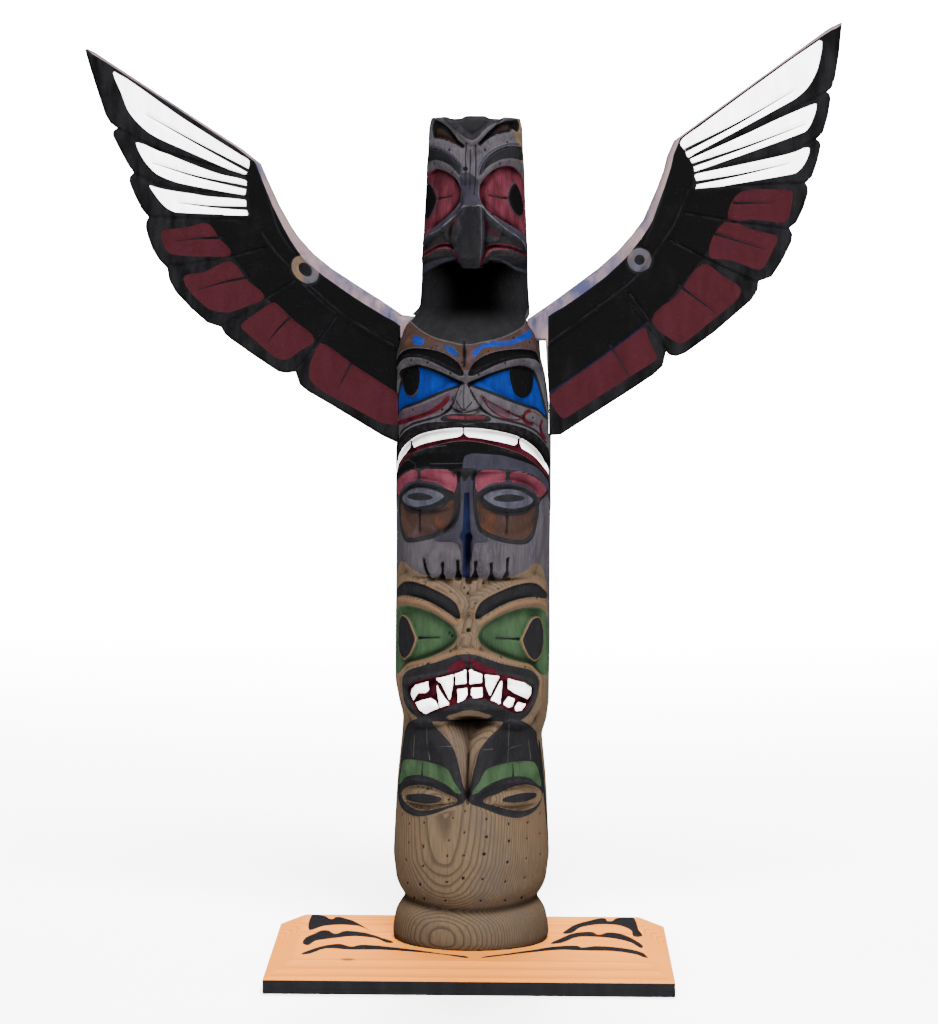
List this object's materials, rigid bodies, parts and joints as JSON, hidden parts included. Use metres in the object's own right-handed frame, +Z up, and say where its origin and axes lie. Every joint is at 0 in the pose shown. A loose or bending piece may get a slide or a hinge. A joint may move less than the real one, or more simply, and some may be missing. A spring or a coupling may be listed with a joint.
{
  "type": "totem pole",
  "caption": "Carved and painted wooden totem pole: a winged thunderbird above stacked crest figures, on a bevelled board.",
  "frame": {"origin": "centre of the base board's underside", "axes": "+Z up along the pole, -Y towards the carved front, +X towards the viewer's right"},
  "size_m": [0.4897, 0.184, 0.6127],
  "materials": {
    "base_wood": "clear satin varnish over light softwood, black painted edge",
    "pole_wood": "carved softwood, part stained, with matt black, blue, green, red and white paint",
    "wing_paint": "carved softwood, matt black, maroon and white paint"
  },
  "bodies": {
    "root": {"base": "base_wood", "pole": "pole_wood", "wing_left": "wing_paint", "wing_right": "wing_paint"}
  },
  "joints": []
}
